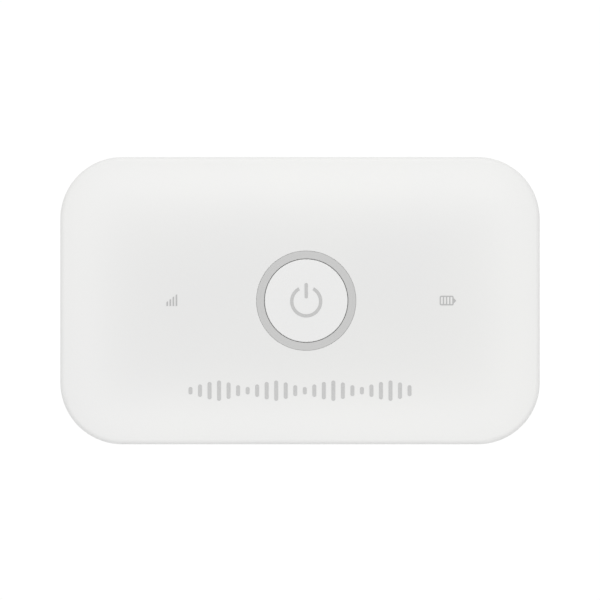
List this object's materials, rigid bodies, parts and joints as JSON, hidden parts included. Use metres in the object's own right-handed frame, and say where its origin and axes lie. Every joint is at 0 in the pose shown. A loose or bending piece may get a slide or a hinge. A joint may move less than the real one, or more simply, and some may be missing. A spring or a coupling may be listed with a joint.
{
  "type": "mobile hotspot",
  "caption": "Pocket battery-powered wireless hotspot: rounded flat white case with a ringed power button, status icons, micro-USB port and a removable back cover over its battery and SIM card.",
  "frame": {"origin": "centre of the flat rear face, which the device rests on", "axes": "+X to the right across the front face, +Y to the top of the front face, +Z out of the front face"},
  "size_m": [0.0968, 0.058, 0.0128],
  "materials": {
    "white_case": "fine satin grain",
    "ring_grey": "spun satin grey",
    "print_grey": "printed ink",
    "dark_chassis": "fine textured black",
    "silicone": "soft matte",
    "clear_guide": "frosted clear",
    "lamp": "cast resin",
    "foam": "open-cell foam",
    "board_green": "solder mask",
    "tinned_sheet": "rolled tin plate",
    "steel_port": "drawn steel",
    "gold_contact": "gold plated",
    "black_resin": "moulded epoxy",
    "ceramic_tan": "fired body",
    "ferrite": "pressed ferrite",
    "pad_grey": "thermal silicone",
    "carrier_plastic": "moulded carrier",
    "connector_plastic": "glass-filled nylon",
    "cell_foil": "laminated foil",
    "sleeve_film": "printed film",
    "card_plastic": "laminated card",
    "screw_steel": "black zinc",
    "label_paper": "coated label"
  },
  "bodies": {
    "case": {"antenna_springs": "gold_contact", "baseband_shield_frame": "tinned_sheet", "baseband_shield_lid": "tinned_sheet", "battery_connector_housing": "connector_plastic", "battery_connector_springs": "gold_contact", "battery_icon": "print_grey", "battery_led": "lamp", "battery_light_guide": "clear_guide", "board_capacitors": "ceramic_tan", "button_cushion": "silicone", "button_ring": "ring_grey", "chassis_screws": "screw_steel", "crystals": "tinned_sheet", "diversity_antenna": "gold_contact", "diversity_antenna_carrier": "carrier_plastic", "front_marking": "print_grey", "front_shell": "white_case", "inner_chassis": "dark_chassis", "light_shields": "foam", "main_antenna": "gold_contact", "main_antenna_carrier": "carrier_plastic", "main_board": "board_green", "memory_chip": "black_resin", "modem_chip": "black_resin", "power_amplifiers": "black_resin", "power_inductors": "ferrite", "power_management_chip": "black_resin", "power_shield_frame": "tinned_sheet", "power_shield_lid": "tinned_sheet", "power_switch_base": "steel_port", "rating_label": "label_paper", "reset_switch_base": "steel_port", "rf_shield_frame": "tinned_sheet", "rf_shield_lid": "tinned_sheet", "rf_transceiver_chip": "black_resin", "signal_icon": "print_grey", "signal_led": "lamp", "signal_light_guide": "clear_guide", "sim_socket_base": "black_resin", "sim_socket_contacts": "gold_contact", "sim_socket_shell": "tinned_sheet", "thermal_pad": "pad_grey", "usb_contacts": "gold_contact", "usb_shell": "steel_port", "usb_tongue": "black_resin", "wifi_antenna": "tinned_sheet", "wifi_chip": "black_resin"},
    "rear_cover": {"rear_cover": "white_case"},
    "battery": {"battery_cell": "cell_foil", "battery_header": "connector_plastic", "battery_terminals": "gold_contact", "battery_wrap": "sleeve_film"},
    "sim": {"sim_card": "card_plastic", "sim_card_contacts": "gold_contact"},
    "power_button": {"power_button": "white_case", "button_symbol": "print_grey", "power_switch_plunger": "black_resin"},
    "reset_button": {"reset_button": "black_resin"}
  },
  "joints": [
    {"name": "cover_off", "type": "slide", "parent": "case", "child": "rear_cover", "axis": [0, 0, -1], "range_m": [0, 0.03], "stiffness_N_per_m": 300},
    {"name": "battery_out", "type": "slide", "parent": "case", "child": "battery", "axis": [0, 0, -1], "range_m": [0, 0.012]},
    {"name": "sim_slide", "type": "slide", "parent": "case", "child": "sim", "axis": [0, -1, 0], "range_m": [0, 0.01], "stiffness_N_per_m": 20},
    {"name": "power_press", "type": "slide", "parent": "case", "child": "power_button", "axis": [0, 0, -1], "range_m": [0, 0.00025], "stiffness_N_per_m": 6400, "deforming": ["button_cushion"]},
    {"name": "reset_press", "type": "slide", "parent": "case", "child": "reset_button", "axis": [0, 0, 1], "range_m": [0, 0.00025], "stiffness_N_per_m": 6400}
  ],
  "couplings": [
    {"joint": "battery_out", "follows": "cover_off", "ratio": 0.4}
  ]
}
